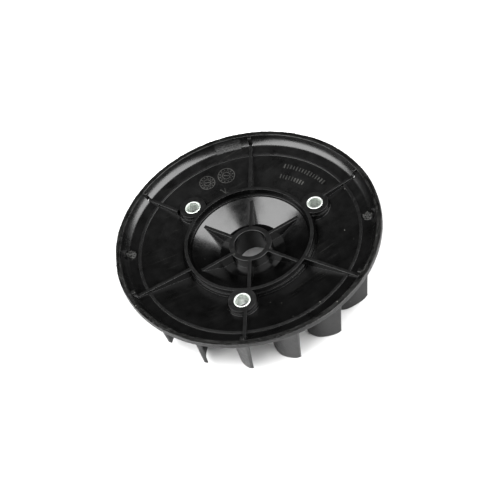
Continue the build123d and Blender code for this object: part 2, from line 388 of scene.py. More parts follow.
@dataclass(frozen=True)
class MouldedPolypropylene:
    """Black polypropylene with 30 % glass fibre, as the mould's steel left it.

    Glass fibre near the skin gives a cloudy, greyish satin; handling leaves fine pale scratches.
    """

    name: str
    dark: str = "030303"
    pale: str = "080808"
    roughness: float = 0.30
    roughness_spread: float = 0.04
    ring_streaks: bool = False
    cloud_mm: float = 7.0
    grain_mm: float = 0.7
    grain_depth_mm: float = 0.05
    scratch_strength: float = 0.6
    scratch_mm: float = 0.30
    dust: float = 0.35
    index: float = 1.49

    def material(self) -> bpy.types.Material:
        """Build the material."""
        material = bpy.data.materials.new(self.name)
        material.use_nodes = True
        tree = material.node_tree
        tree.nodes.clear()
        place = add_node(tree, "ShaderNodeTexCoord").outputs["Object"]
        laid = self.polar(tree, place) if self.ring_streaks else place
        cloud = add_node(tree, "ShaderNodeTexNoise", {
            "Vector": laid, "Scale": 1 / (self.cloud_mm * MM), "Detail": 5.0, "Roughness": 0.6})
        contrast = add_node(tree, "ShaderNodeMapRange", {"Value": cloud.outputs["Fac"], 1: 0.34, 2: 0.66})
        colour = add_node(tree, "ShaderNodeMix", {
            "Factor": contrast.outputs[0], 6: linear(self.dark), 7: linear(self.pale)}, data_type="RGBA")
        scratches = self.scratches(tree, place)
        specks = self.specks(tree, place)
        marked = add_node(tree, "ShaderNodeMix", {
            "Factor": scratches, 6: colour.outputs[2], 7: linear("3a3a38")}, data_type="RGBA")
        dusted = add_node(tree, "ShaderNodeMix", {
            "Factor": specks, 6: marked.outputs[2], 7: linear("9a9a94")}, data_type="RGBA")
        gloss = add_node(tree, "ShaderNodeMapRange", {
            "Value": cloud.outputs["Fac"], 1: 0.3, 2: 0.7,
            3: self.roughness - self.roughness_spread, 4: self.roughness + self.roughness_spread})
        worn = add_node(tree, "ShaderNodeMath", {0: scratches, 1: 0.25, 2: gloss.outputs[0]},
                        operation="MULTIPLY_ADD")
        grain = add_node(tree, "ShaderNodeTexNoise", {
            "Vector": place, "Scale": 1 / (self.grain_mm * MM), "Detail": 3.0, "Roughness": 0.55})
        bump = add_node(tree, "ShaderNodeBump", {
            "Height": grain.outputs["Fac"], "Strength": 1.0, "Distance": self.grain_depth_mm * MM})
        surface = add_node(tree, "ShaderNodeBsdfPrincipled", {
            "Base Color": dusted.outputs[2], "Roughness": worn.outputs[0], "IOR": self.index,
            "Normal": bump.outputs["Normal"]})
        add_node(tree, "ShaderNodeOutputMaterial", {"Surface": surface.outputs[0]})
        return material

    def polar(self, tree: bpy.types.NodeTree, place: bpy.types.NodeSocket) -> bpy.types.NodeSocket:
        """Lay the pattern round the axis, drawn out along the circumference.

        Args:
            tree: The material's tree.
            place: The position that the pattern follows.

        Returns:
            The position as radius, length along the lip and height, in metres.
        """
        split = add_node(tree, "ShaderNodeSeparateXYZ", {"Vector": place})
        flat = add_node(tree, "ShaderNodeCombineXYZ", {"X": split.outputs["X"], "Y": split.outputs["Y"]})
        radius = add_node(tree, "ShaderNodeVectorMath", {0: flat.outputs[0]}, operation="LENGTH")
        angle = add_node(tree, "ShaderNodeMath", {0: split.outputs["Y"], 1: split.outputs["X"]},
                         operation="ARCTAN2")
        along = add_node(tree, "ShaderNodeMath", {0: angle.outputs[0], 1: 12 * MM}, operation="MULTIPLY")
        across = add_node(tree, "ShaderNodeMath", {0: radius.outputs["Value"], 1: 1.6}, operation="MULTIPLY")
        return add_node(tree, "ShaderNodeCombineXYZ", {
            "X": across.outputs[0], "Y": along.outputs[0], "Z": split.outputs["Z"]}).outputs[0]

    def scratches(self, tree: bpy.types.NodeTree, place: bpy.types.NodeSocket) -> bpy.types.NodeSocket:
        """Fine pale hairlines in two crossing directions, in patches.

        Args:
            tree: The material's tree.
            place: The position that the pattern follows.

        Returns:
            The strength of the scratches, from 0 to 1.
        """
        lines = []
        for turn in (0.35, 1.9):
            laid = add_node(tree, "ShaderNodeMapping", {
                "Vector": place, "Rotation": (0, 0, turn),
                "Scale": (1 / (24 * MM), 1 / (self.scratch_mm * MM), 1 / (6 * MM))})
            streak = add_node(tree, "ShaderNodeTexNoise", {
                "Vector": laid.outputs[0], "Scale": 1.0, "Detail": 2.0, "Roughness": 0.5})
            thin = add_node(tree, "ShaderNodeMapRange", {"Value": streak.outputs["Fac"], 1: 0.66, 2: 0.78})
            lines.append(thin.outputs[0])
        both = add_node(tree, "ShaderNodeMath", {0: lines[0], 1: lines[1]}, operation="MAXIMUM")
        patch = add_node(tree, "ShaderNodeTexNoise", {"Vector": place, "Scale": 1 / (16 * MM), "Detail": 2.0})
        where = add_node(tree, "ShaderNodeMapRange", {"Value": patch.outputs["Fac"], 1: 0.42, 2: 0.62,
                                                      4: self.scratch_strength})
        return add_node(tree, "ShaderNodeMath", {0: both.outputs[0], 1: where.outputs[0]},
                        operation="MULTIPLY").outputs[0]

    def specks(self, tree: bpy.types.NodeTree, place: bpy.types.NodeSocket) -> bpy.types.NodeSocket:
        """Sparse specks of dust, about 0.3 mm across.

        Args:
            tree: The material's tree.
            place: The position that the pattern follows.

        Returns:
            The cover of dust, from 0 to 1.
        """
        cells = add_node(tree, "ShaderNodeTexVoronoi", {"Vector": place, "Scale": 1 / (4.5 * MM)})
        near = add_node(tree, "ShaderNodeMapRange", {"Value": cells.outputs["Distance"], 1: 0.075, 2: 0.03})
        split = add_node(tree, "ShaderNodeSeparateColor", {"Color": cells.outputs["Color"]})
        chosen = add_node(tree, "ShaderNodeMapRange", {
            "Value": split.outputs[0], 1: 0.78, 2: 0.82, 4: self.dust})
        return add_node(tree, "ShaderNodeMath", {0: near.outputs[0], 1: chosen.outputs[0]},
                        operation="MULTIPLY").outputs[0]


@dataclass(frozen=True)
class ZincPlatedSteel:
    """Bright zinc on drawn steel tube: metallic, with fine lines along the draw."""

    name: str = "zinc_plated_drawn_steel"
    bright: str = "f2f5f1"
    dull: str = "cdd4ce"
    roughness: float = 0.48

    def material(self) -> bpy.types.Material:
        """Build the material."""
        material = bpy.data.materials.new(self.name)
        material.use_nodes = True
        tree = material.node_tree
        tree.nodes.clear()
        place = add_node(tree, "ShaderNodeTexCoord").outputs["Object"]
        drawn = add_node(tree, "ShaderNodeMapping", {
            "Vector": place, "Scale": (1 / (0.35 * MM), 1 / (0.35 * MM), 1 / (6 * MM))})
        lines = add_node(tree, "ShaderNodeTexNoise", {
            "Vector": drawn.outputs[0], "Scale": 1.0, "Detail": 3.0})
        stain = add_node(tree, "ShaderNodeTexNoise", {
            "Vector": place, "Scale": 1 / (1.6 * MM), "Detail": 4.0})
        tone = add_node(tree, "ShaderNodeMapRange", {"Value": stain.outputs["Fac"], 1: 0.35, 2: 0.65})
        colour = add_node(tree, "ShaderNodeMix", {
            "Factor": tone.outputs[0], 6: linear(self.dull), 7: linear(self.bright)}, data_type="RGBA")
        gloss = add_node(tree, "ShaderNodeMapRange", {
            "Value": lines.outputs["Fac"], 1: 0.3, 2: 0.7,
            3: self.roughness - 0.08, 4: self.roughness + 0.12})
        bump = add_node(tree, "ShaderNodeBump", {
            "Height": lines.outputs["Fac"], "Strength": 1.0, "Distance": 0.012 * MM})
        surface = add_node(tree, "ShaderNodeBsdfPrincipled", {
            "Base Color": colour.outputs[2], "Metallic": 1.0, "Roughness": gloss.outputs[0],
            "Normal": bump.outputs["Normal"]})
        add_node(tree, "ShaderNodeOutputMaterial", {"Surface": surface.outputs[0]})
        return material


class Finish(Enum):
    """The finishes of the wheel, each with the recipe for its material."""

    # The dish floor: soft black, faintly clouded, with fine pale handling scratches.
    SATIN_FLOOR = MouldedPolypropylene("satin_moulded_polypropylene")
    # The hub cone and hub boss: a polished mould face, which mirrors the lights as clear bright
    # patches; the index is raised above polypropylene's 1.49 to strengthen them.
    GLOSSY_CORE = MouldedPolypropylene(
        "polished_core_polypropylene", dark="020202", pale="040404", roughness=0.20, roughness_spread=0.05,
        grain_depth_mm=0.006, scratch_strength=0.2, dust=0.12, index=1.62)
    # The cove: nearly as polished, with a raised index, so its highlights run long and soft-edged.
    POLISHED_COVE = MouldedPolypropylene(
        "polished_cove_polypropylene", dark="030303", pale="060606", roughness=0.28, roughness_spread=0.05,
        grain_depth_mm=0.012, scratch_strength=0.25, dust=0.2, index=1.60)
    # Painted shade on the upright sides of the ring, ribs and screw bosses: smooth and almost pure black.
    PAINTED_SHADE_WALL = MouldedPolypropylene(
        "painted_shade_wall_polypropylene", dark="020202", pale="040404", roughness=0.24, grain_depth_mm=0.01,
        scratch_strength=0.1, dust=0.1)
    # The ridge and the tops of the ring, ribs and bosses: rubbed paler and duller than the floor.
    WORN_EDGE = MouldedPolypropylene(
        "worn_edge_polypropylene", dark="060606", pale="101010", roughness=0.40, cloud_mm=2.0)
    # The vanes and the rim's back: ground mould faces, whose uneven roughness gives a broken grey
    # sheen.
    VANE = MouldedPolypropylene(
        "draft_ground_polypropylene", dark="040404", pale="0f0f0f", roughness=0.41, roughness_spread=0.08,
        cloud_mm=2.5, grain_mm=0.5, grain_depth_mm=0.03)
    # The lip and its tabs: flash cut off by hand, nearly black and streaked along the circumference.
    TRIMMED_LIP = MouldedPolypropylene(
        "hand_trimmed_polypropylene", dark="010101", pale="161615", roughness=0.34, roughness_spread=0.12,
        cloud_mm=1.6, grain_mm=0.9, grain_depth_mm=0.22, scratch_strength=0.5, ring_streaks=True)
    # Raised marks: rubbed grey, so that they read against the black around them.
    RAISED_MARK = MouldedPolypropylene(
        "raised_mark_polypropylene", dark="1a1a19", pale="343432", roughness=0.45)
    # The milled recess: a coarse, dark tool texture with only a dull highlight.
    MILLED = MouldedPolypropylene(
        "milled_polypropylene", dark="020202", pale="101010", roughness=0.45, cloud_mm=0.8, grain_mm=0.8,
        grain_depth_mm=0.25)
    # Gate stubs: stretched, torn plastic, rough and mottled grey.
    TORN_GATE = MouldedPolypropylene(
        "torn_gate_polypropylene", dark="080808", pale="242422", roughness=0.5, cloud_mm=1.0,
        grain_mm=0.5, grain_depth_mm=0.15)
    # Sleeves: bright zinc with fine lines along the draw.
    SLEEVE = ZincPlatedSteel()

    def material(self) -> bpy.types.Material:
        """Give the finish's material, made once."""
        return bpy.data.materials.get(self.value.name) or self.value.material()


# ------------------------------------------------------------------------------------------
# The wheel
# ------------------------------------------------------------------------------------------


@dataclass
class WheelFrame:
    """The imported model's own measures, and the dish's shape that all the pieces share."""

    wall: float = 2.05
    cove_radius: float = 7.4
    cove_foot_slope: float = 41.5
    cove_foot_radius: float = 59.8
    cove_foot_drop: float = 5.3
    floor_slope: float = 11.8
    cone_slope: float = 27.4
    hub_floor_radius: float = 16.2
    cone_outer: float = 28.9

    def __post_init__(self) -> None:
        """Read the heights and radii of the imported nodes."""
        self.lip_z = self.top("rim")
        self.rim_radius = self.reach("rim")
        self.mount_z = self.top("locating_ring")
        self.collar_outer = self.reach("locating_ring")
        self.hub_top_z = self.top("hub_boss")
        self.hub_bottom_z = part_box("hub_boss")[0][2] / MM
        self.hub_outer = self.reach("hub_boss")
        self.cove_foot_z = self.lip_z - self.cove_foot_drop
        self.hub_floor_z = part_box("hub_cone")[0][2] / MM + self.wall
        slope = math.radians(self.cove_foot_slope)
        self.cove_centre = (self.cove_foot_radius - self.cove_radius * math.sin(slope),
                            self.cove_foot_z + self.cove_radius * math.cos(slope))

    @staticmethod
    def top(node: str) -> float:
        """Give the height of a node's highest point."""
        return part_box(node)[1][2] / MM

    @staticmethod
    def reach(node: str) -> float:
        """Give how far a node reaches along X."""
        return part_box(node)[1][0] / MM

    @staticmethod
    def centre(node: str) -> Point:
        """Give the middle of a node's box, seen along the axis."""
        low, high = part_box(node)
        return (low[0] + high[0]) / 2 / MM, (low[1] + high[1]) / 2 / MM

    def floor_z(self, r: float) -> float:
        """Give the height of the dish's floor at a radius."""
        return self.cove_foot_z - (self.cove_foot_radius - r) * math.tan(math.radians(self.floor_slope))

    def back_z(self, r: float) -> float:
        """Give the height of the dish's back at a radius."""
        return self.floor_z(r) - self.wall

    def cone_z(self, r: float) -> float:
        """Give the height of the hub cone, or of the flat floor at its foot, at a radius."""
        climb = max(0.0, r - self.hub_floor_radius)
        return self.hub_floor_z + climb * math.tan(math.radians(self.cone_slope))


def paint_shade_on_sides(piece: bpy.types.Object, upright: "Finish", tops_above: float = -math.inf) -> None:
    """Paint a piece's upright faces with a darker finish as painted shade, and leave its tops worn.

    Args:
        piece: A piece that has the finish of its tops.
        upright: The darker finish of its sides, which is painted shade.
        tops_above: Height, in mm, below which every face takes the sides' painted shade too.
    """
    piece.data.materials.append(upright.material())
    for face in piece.data.polygons:
        if face.normal.z < UPRIGHT_NORMAL or face.center.z / MM < tops_above:
            face.material_index = len(piece.data.materials) - 1


def stand_for(piece: bpy.types.Object, slot: str, *nodes: str) -> bpy.types.Object:
    """Fix a piece to the wheel and hide the CAD nodes that it stands for.

    Args:
        piece: The finished piece.
        slot: Not used.
        *nodes: The CAD nodes that it stands for.

    Returns:
        The same piece.
    """
    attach(piece, BODY)
    if nodes:
        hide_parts(*nodes)
    return piece


@dataclass
class Rim:
    """The cove that climbs to the lip, its trimmed land, lip tabs, windows and gate scars."""

    wheel: WheelFrame
    inner: float = 59.0
    lip_band: float = 2.5
    edge: float = 0.35
    steps: int = 720
    trim_depth: float = 0.16
    trim_reach: float = 1.6
    trim_reach_fade: float = 1.2
    trim_inner: float = 61.9
    trim_inner_fade: float = 0.5
    coarse_grain: float = 3.1
    fine_grain: float = 0.9
    waviness: float = 0.35
    wave_length: float = 16
    tab_count: int = 6
    tab_width: float = 2.0
    tab_inner: float = 60.3
    tab_thickness: float = 1.5
    tab_set_in: float = 2.0
    tab_drop: float = 0.35
    tab_bevel: float = 0.25
    window_centre: float = 60.85
    window_length: float = 1.7
    gate_angles: tuple[float, float] = (154.5, -25.5)
    gate_radius: float = 58.6
    gate_pocket: float = 3.7
    recess: Point = (64.8, 77.8)
    recess_depth: float = 0.4

    def outline(self) -> list[Point]:
        """Give the rim's rounded section."""
        w = self.wheel
        centre, back_radius = w.cove_centre, w.cove_radius + w.wall
        top_angle = math.degrees(math.asin((w.lip_z - centre[1]) / w.cove_radius))
        cove = circle_arc(centre, w.cove_radius, w.cove_foot_slope - 90, top_angle, 14)
        land = math.sqrt(w.cove_radius ** 2 - (w.lip_z - centre[1]) ** 2) + centre[0]
        band_z = w.lip_z - self.lip_band
        back_top = math.degrees(math.asin((band_z - centre[1]) / back_radius))
        back = circle_arc(centre, back_radius, back_top, w.cove_foot_slope - 90, 10)
        corners = [Corner(self.inner, w.floor_z(self.inner))]
        corners += cove[:-1]
        corners += [Corner(land, w.lip_z, self.edge), Corner(w.rim_radius, w.lip_z, self.edge),
                    Corner(w.rim_radius, band_z, self.edge)]
        corners += back
        corners += [Corner(self.inner, w.back_z(self.inner))]
        return rounded(corners)

    def roughen(self, shell: Shell) -> None:
        """Work a ragged, hand-trimmed surface into the lip's land and its outer edge.

        Args:
            shell: The rim's shell, changed in place.
        """
        w = self.wheel
        for vertex in shell.vertices:
            x, y, z = vertex
            r = math.hypot(x, y)
            share = fade(z - w.lip_z + self.trim_reach, self.trim_reach_fade)
            share *= fade(r - self.trim_inner, self.trim_inner_fade)
            if share == 0.0:
                continue
            coarse = noise.noise(Vector((x / self.coarse_grain, y / self.coarse_grain, z)))
            fine = noise.noise(Vector((x / self.fine_grain, y / self.fine_grain, 7.0 + z)))
            vertex[2] -= share * self.trim_depth * (0.9 + coarse + 0.7 * fine)
            broad = noise.noise(Vector((x / self.wave_length, y / self.wave_length, 3.0)))
            outer = max(0.0, (r - 64.0) / 1.0)
            inset = self.trim_depth * (0.5 + 0.8 * fine) + outer * self.waviness * max(0.0, broad + 0.3)
            vertex[:2] *= 1 - share * inset / r

    def cutters(self) -> list[bpy.types.Object]:
        """Make the solids that cut the windows under the tabs and the pockets at the gates."""
        w = self.wheel
        solids = []
        for number in range(self.tab_count):
            box = box_shell((self.window_length, self.tab_width, 12), (self.window_centre, 0, w.lip_z - 7),
                            360 * number / self.tab_count)
            solids.append(make_piece(f"window_cutter_{number}", box, []))
        for number, angle in enumerate(self.gate_angles, start=1):
            x, y = self.gate_radius * direction(angle)
            outline = [(0.01, w.floor_z(self.gate_radius) + 0.35), (self.gate_pocket, w.floor_z(62.0)),
                       (self.gate_pocket, w.lip_z - 0.9), (0.01, w.lip_z - 0.9)]
            drill = lathe(outline, 48).moved(Matrix.Translation((x, y, 0)))
            solids.append(make_piece(f"gate_cutter_{number}", drill, []))
        arc = circle_arc(w.cove_centre, w.cove_radius + self.recess_depth, -54, -8, 10)
        arc += circle_arc(w.cove_centre, w.cove_radius - 2.0, -8, -54, 4)
        section = np.array([(corner.r, corner.z) for corner in arc])
        rows = [np.column_stack((section[:, :1] * direction(angle), section[:, 1]))
                for angle in np.linspace(*self.recess, 27)]
        solids.append(make_piece("recess_cutter", loft(rows, ring=False, capped=True), []))
        return solids

    def build(self) -> list[bpy.types.Object]:
        """Make the rim and its tabs.

        Returns:
            The finished pieces.
        """
        w = self.wheel
        shell = lathe(self.outline(), self.steps)
        self.roughen(shell)
        choices = (Finish.POLISHED_COVE, Finish.TRIMMED_LIP, Finish.VANE, Finish.MILLED)
        finishes = [choice.material() for choice in choices]
        rim = make_piece("rim", shell, finishes)
        carve(rim, self.cutters())
        self.dress(rim)
        tab_outer, tab_top = w.rim_radius - self.tab_set_in, w.lip_z - self.tab_drop
        tab = make_piece("lip_tabs", box_shell(
            (tab_outer - self.tab_inner, self.tab_width, self.tab_thickness),
            ((tab_outer + self.tab_inner) / 2, 0, tab_top - self.tab_thickness / 2)), [])
        soften = tab.modifiers.new("soften", "BEVEL")
        soften.width, soften.segments = self.tab_bevel * MM, 3
        PolarArray(self.tab_count, 0.0, Finish.TRIMMED_LIP.material()).apply(tab)
        return [stand_for(rim, PLASTIC, "rim"), stand_for(tab, PLASTIC)]

    def dress(self, rim: bpy.types.Object) -> None:
        """Give each face of the rim its finish: cove, trimmed land, back or milled recess.

        Args:
            rim: The rim, with its four slots.
        """
        w = self.wheel
        for face in rim.data.polygons:
            x, y, z = (c / MM for c in face.center)
            r = math.hypot(x, y)
            depth = math.hypot(r - w.cove_centre[0], z - w.cove_centre[1]) - w.cove_radius
            in_recess = self.recess[0] - 0.1 < math.degrees(math.atan2(y, x)) < self.recess[1] + 0.1
            if z > w.lip_z - 0.75 and r > 62.0 and not (in_recess and depth < 0.6):
                face.material_index = 1
            elif depth > 0.6:
                face.material_index = 2
            else:
                face.material_index = 3 if in_recess and depth > 0.05 else 0


@dataclass
class Dish:
    """The conical floor, the locating ring and the thin circular ridge."""

    wheel: WheelFrame
    floor_inner: float = 33.6
    floor_outer: float = 59.0
    ring_inner: float = 30.2
    ring_outer: float = 31.9
    ring_collar_drop: float = 9.0
    ridge_radius: float = 54.4
    ridge_width: float = 1.3
    ridge_drop: float = 5.85
    sleeve_hole: float = 3.95
    steps: int = 360

    def floor(self, sleeves: Sequence[str]) -> bpy.types.Object:
        """Make the floor, open where the sleeves pass through it.

        Args:
            sleeves: The CAD nodes of the sleeves.

        Returns:
            The floor.
        """
        w = self.wheel
        outline = [Corner(r, w.floor_z(r)) for r in np.linspace(self.floor_inner, self.floor_outer, 9)]
        outline += [Corner(r, w.back_z(r)) for r in np.linspace(self.floor_outer, self.floor_inner, 9)]
        floor = make_piece("dish_floor", lathe(rounded(outline), self.steps), [Finish.SATIN_FLOOR.material()])
        drills = []
        for node in sleeves:
            x, y = w.centre(node)
            drill = lathe([(0.01, 0), (self.sleeve_hole, 0), (self.sleeve_hole, 40), (0.01, 40)], 64)
            drills.append(make_piece(f"{node}_drill", drill.moved(Matrix.Translation((x, y, 0))), []))
        carve(floor, drills)
        return stand_for(floor, PLASTIC, "dish_floor")

    def ring(self) -> bpy.types.Object:
        """Make the locating ring, with its stepped foot."""
        w = self.wheel
        collar_z = w.lip_z - self.ring_collar_drop
        outline = rounded([
            Corner(w.cone_outer, w.cone_z(w.cone_outer)),
            Corner(self.ring_inner - 0.15, w.cone_z(w.cone_outer) - 0.1, 0.15),
            Corner(self.ring_inner, w.mount_z, 0.1),
            Corner(self.ring_outer, w.mount_z, 0.12),
            Corner(self.ring_outer + 0.06, collar_z, 0.04),
            Corner(w.collar_outer, collar_z, 0.07),
            Corner(w.collar_outer + 0.05, w.floor_z(w.collar_outer + 0.05), 0.05),
            Corner(self.floor_inner, w.floor_z(self.floor_inner)),
            Corner(self.floor_inner, w.back_z(self.floor_inner)),
            Corner(self.ring_outer, w.back_z(self.ring_outer), 0.6),
            Corner(w.cone_outer, w.cone_z(w.cone_outer) - w.wall),
        ])
        ring = make_piece("locating_ring", lathe(outline, self.steps), [Finish.WORN_EDGE.material()])
        # The sides, and every face below the ring's top, get the darker finish: painted shade.
        paint_shade_on_sides(ring, Finish.PAINTED_SHADE_WALL, w.mount_z - 0.3)
        return stand_for(ring, PLASTIC, "locating_ring")

    def ridge(self) -> bpy.types.Object:
        """Make the thin circular ridge, with a flared foot sunk in the floor."""
        w = self.wheel
        half, flare = self.ridge_width / 2, 0.2
        inner, outer = self.ridge_radius - half, self.ridge_radius + half
        top = w.lip_z - self.ridge_drop
        outline = rounded([
            Corner(inner - flare, w.floor_z(inner - flare) - 0.3),
            Corner(inner - flare, w.floor_z(inner - flare) - 0.01),
            Corner(inner, w.floor_z(inner) + 0.05, 0.15),
            Corner(inner + 0.03, top, 0.1),
            Corner(outer - 0.03, top, 0.1),
            Corner(outer, w.floor_z(outer) + 0.05, 0.1),
            Corner(outer + flare, w.floor_z(outer + flare) - 0.01),
            Corner(outer + flare, w.floor_z(outer + flare) - 0.3),
        ], support=0.1)
        finishes = [Finish.WORN_EDGE.material()]
        ridge = make_piece("circular_ridge", lathe(outline, self.steps), finishes, crease=50)
        return stand_for(ridge, PLASTIC, "circular_ridge")


@dataclass
class Hub:
    """The glossy cone inside the ring, and the boss round the bore."""

    wheel: WheelFrame
    bore: float = 8.0
    cone_inner: float = 12.6
    steps: int = 360

    def cone(self) -> bpy.types.Object:
        """Make the cone and the flat floor at its foot."""
        w = self.wheel
        slope = np.linspace(w.hub_floor_radius, w.cone_outer, 7)[1:]
        corners = [Corner(self.cone_inner, w.hub_floor_z),
                   Corner(w.hub_floor_radius, w.hub_floor_z, 0.8)]
        corners += [Corner(r, w.cone_z(r)) for r in slope]
        corners += [Corner(r, w.cone_z(r) - w.wall) for r in slope[::-1]]
        corners += [Corner(w.hub_floor_radius, w.hub_floor_z - w.wall, 1.0),
                    Corner(self.cone_inner, w.hub_floor_z - w.wall)]
        cone = make_piece("hub_cone", lathe(rounded(corners), self.steps), [Finish.GLOSSY_CORE.material()])
        return stand_for(cone, PLASTIC, "hub_cone")

    def boss(self) -> bpy.types.Object:
        """Make the tubular boss, with fillets where it leaves the floor."""
        w = self.wheel
        back = w.hub_floor_z - w.wall
        outline = rounded([
            Corner(self.bore, w.hub_bottom_z, 0.3),
            Corner(self.bore, w.hub_top_z, 0.3),
            Corner(w.hub_outer - 0.1, w.hub_top_z, 0.3),
            Corner(w.hub_outer, w.hub_floor_z, 0.08),
            Corner(self.cone_inner, w.hub_floor_z),
            Corner(self.cone_inner, back),
            Corner(w.hub_outer, back, 0.8),
            Corner(w.hub_outer - 0.15, w.hub_bottom_z, 0.4),
        ])
        finishes = [Finish.GLOSSY_CORE.material(), Finish.WORN_EDGE.material()]
        boss = make_piece("hub_boss", lathe(outline, self.steps), finishes)
        for face in boss.data.polygons:
            face.material_index = 1 if face.center.z / MM > w.hub_top_z - 0.5 else 0
        return stand_for(boss, PLASTIC, "hub_boss")


@dataclass
class Ribs:
    """Upright ribs with flat tops and small feet, six in the dish and six in the hub cone."""

    wheel: WheelFrame
    count: int = 6
    width: float = 1.7
    flare: float = 0.06
    edge: float = 0.14
    ring_radius: float = 31.6
    boss_side: float = 42.2
    cove_end: float = 60.2
    outer_end_drop: float = 4.7
    inner_tip: float = 26.9

    def section(self, r: float, top: float, ground: Profile) -> np.ndarray:
        """Give the rib's cross-section at a radius, as if the rib ran along +X.

        Args:
            r: Distance from the axis.
            top: Height of the rib's top edge.
            ground: Height of the surface that it stands on, by radius.

        Returns:
            The closed loop of points.
        """
        height = max(0.02, top - ground(r))
        scale = min(1.0, height / (self.flare + self.edge + 0.1))
        flare, edge, half = self.flare * scale, self.edge * scale, self.width / 2
        side = [(half + flare, -0.35), (half + flare, -0.01)]
        for step in range(1, 5):
            turn = math.radians(22.5 * step)
            side.append((half + flare * (1 - math.sin(turn)), flare * (1 - math.cos(turn))))
        side.append((half - 0.02, height - edge - 0.02 * scale))
        for step in range(1, 4):
            turn = math.radians(30 * step)
            side.append((half - edge * (1 - math.cos(turn)), height - edge * (1 - math.sin(turn))))
        loop = side + [(-s, h) for s, h in side[::-1]]
        points = []
        for across, up in loop:
            level = ground(math.hypot(r, across)) if up < flare else ground(r)
            points.append((r, across, level + up))
        return np.array(points)

    def rib(self, stations: Sequence[float], top: Profile, ground: Profile) -> Shell:
        """Run the cross-section along a rib.

        Args:
            stations: The radii at which the section is taken.
            top: Height of the top edge, by radius.
            ground: Height of the surface below, by radius.

        Returns:
            The closed rib, along +X.
        """
        return loft([self.section(r, top(r), ground) for r in stations], ring=False, capped=True)

    def outer_top(self, r: float) -> float:
        """Give the height of an outer rib's top edge at a radius."""
        w = self.wheel
        share = (r - self.ring_radius) / (self.cove_end - self.ring_radius)
        return w.mount_z + max(0.0, share) * (w.lip_z - self.outer_end_drop - w.mount_z)

    def build(self) -> list[bpy.types.Object]:
        """Make the three families of ribs.

        Returns:
            The finished pieces.
        """
        w, step = self.wheel, 360 / self.count
        full = np.linspace(self.ring_radius, self.cove_end, 16)
        from_boss = np.linspace(self.boss_side, self.cove_end, 12)
        inside = np.linspace(w.hub_outer - 0.4, self.inner_tip + 0.4, 18)
        families = (
            ("outer_ribs_full", full, self.outer_top, w.floor_z, "outer_rib", [2, 4, 6]),
            ("outer_ribs_at_bosses", from_boss, self.outer_top, w.floor_z, "outer_rib", [1, 3, 5]),
            ("inner_ribs", inside, lambda r: w.hub_top_z, w.cone_z, "inner_rib", [1, 2, 3, 4, 5, 6]),
        )
        pieces = []
        for name, stations, top, ground, node, numbers in families:
            piece = make_piece(name, self.rib(stations, top, ground), [])
            first_angle = (numbers[0] - 1) * step
            PolarArray(len(numbers), first_angle, Finish.WORN_EDGE.material()).apply(piece)
            # The rib sides get the darker finish: painted shade.
            paint_shade_on_sides(piece, Finish.PAINTED_SHADE_WALL)
            pieces.append(stand_for(piece, PLASTIC, *[f"{node}_{n}" for n in numbers]))
        return pieces


@dataclass
class ScrewBoss:
    """One stepped boss on the sloping floor, and the steel sleeve pressed into it."""

    wheel: WheelFrame
    number: int
    radius: float = 6.7
    collar: float = 7.35
    collar_drop: float = 7.8
    hole: float = 3.95
    flare: float = 0.2
    keep_out: float = 31.8
    sleeve_wall: float = 0.75
    steps: int = 96

    def boss(self) -> bpy.types.Object:
        """Make the boss, with a flared foot that follows the floor and the back of the dish."""
        w = self.wheel
        node = f"screw_boss_{self.number}"
        x, y = w.centre(f"screw_sleeve_{self.number}")
        middle = math.hypot(x, y)
        foot_z, collar_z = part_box(node)[0][2] / MM, w.lip_z - self.collar_drop
        floor, back = w.floor_z(middle), w.back_z(middle)
        outline = rounded([
            Corner(self.hole, w.mount_z, 0.1),
            Corner(self.radius, w.mount_z, 0.12),
            Corner(self.radius + 0.05, collar_z, 0.04),
            Corner(self.collar, collar_z, 0.07),
            Corner(self.collar + 0.02, floor, self.flare),
            Corner(self.collar + 1.0, floor - 0.01),
            Corner(self.collar + 1.0, back + 0.01),
            Corner(self.collar + 0.02, back, self.flare),
            Corner(self.collar - 0.1, foot_z, 0.3),
            Corner(self.hole, foot_z, 0.15),
        ])
        shell = lathe(outline, self.steps).moved(Matrix.Translation((x, y, 0)))
        for vertex in shell.vertices:
            r = math.hypot(vertex[0], vertex[1])
            if back - 1.2 * self.flare < vertex[2] < floor + 1.2 * self.flare:
                vertex[2] += w.floor_z(r) - floor
            if r < self.keep_out:
                vertex[:2] *= self.keep_out / r
        piece = make_piece(node, shell, [Finish.WORN_EDGE.material()])
        # The sides, and every face below the boss's top, get the darker finish: painted shade.
        paint_shade_on_sides(piece, Finish.PAINTED_SHADE_WALL, w.mount_z - 0.3)
        return stand_for(piece, PLASTIC, node)

    def sleeve(self) -> bpy.types.Object:
        """Make the sleeve, with rolled edges."""
        node = f"screw_sleeve_{self.number}"
        low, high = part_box(node)
        x, y = self.wheel.centre(node)
        outer = (high[0] - low[0]) / 2 / MM
        inner, bottom, top = outer - self.sleeve_wall, low[2] / MM, high[2] / MM + 0.05
        outline = rounded([Corner(inner, bottom, 0.2), Corner(inner, top, 0.18), Corner(outer, top, 0.25),
                           Corner(outer, bottom, 0.25)], support=0.1)
        shell = lathe(outline, self.steps).moved(Matrix.Translation((x, y, 0)))
        return stand_for(make_piece(node, shell, [Finish.SLEEVE.material()]), STEEL, node)


